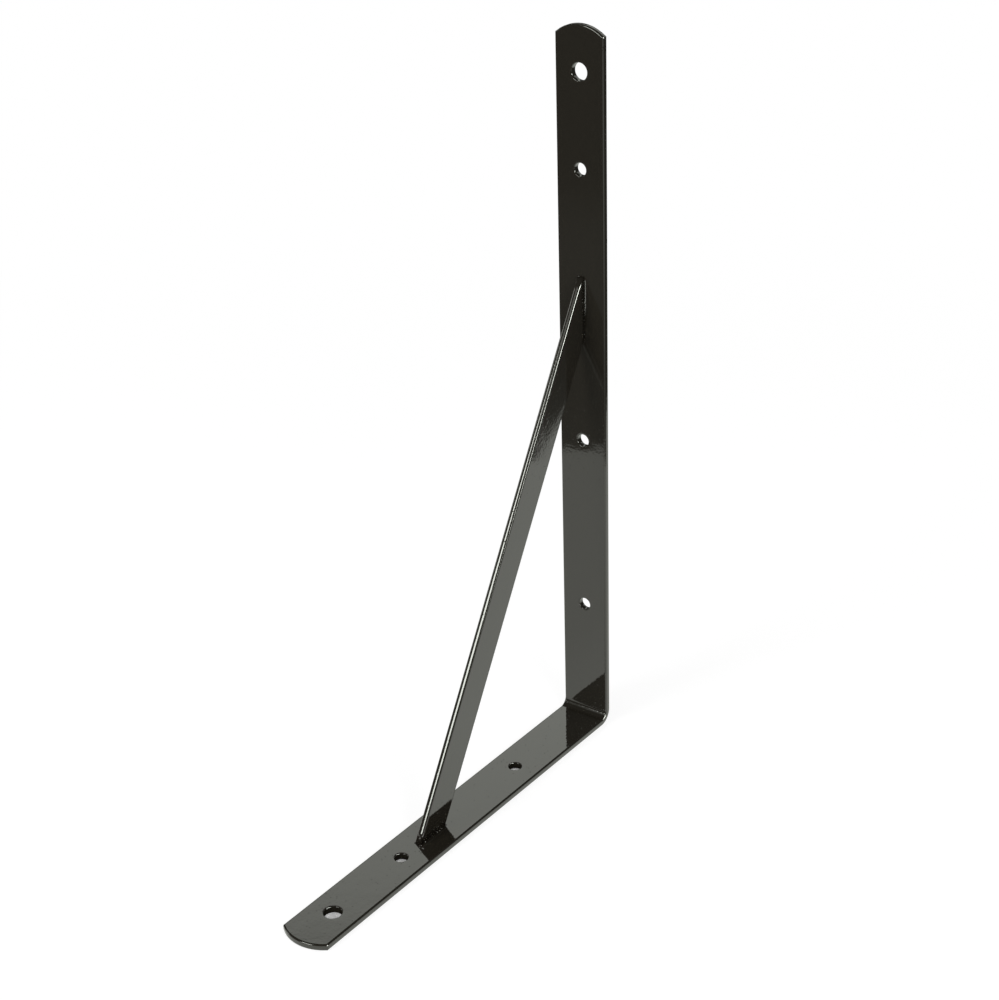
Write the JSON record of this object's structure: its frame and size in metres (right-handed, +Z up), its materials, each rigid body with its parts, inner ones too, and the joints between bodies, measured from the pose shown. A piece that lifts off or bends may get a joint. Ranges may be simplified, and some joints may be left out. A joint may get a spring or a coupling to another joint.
{
  "type": "shelf bracket",
  "caption": "L-shaped steel shelf bracket bent from flat bar, with a diagonal brace welded on edge, rounded ends and screw holes along both legs.",
  "frame": {"origin": "middle of the bracket's footprint, on the underside of the shorter leg", "axes": "+Z up along the longer leg, +Y out of the wall face, so the shorter leg runs along -Y, and X across the bars"},
  "size_m": [0.0254, 0.225, 0.352],
  "materials": {
    "gloss_paint": "gloss",
    "weld_paint": "gloss"
  },
  "bodies": {
    "root": {"strap": "gloss_paint", "brace": "gloss_paint", "upper_weld": "weld_paint", "lower_weld": "weld_paint"}
  },
  "joints": []
}
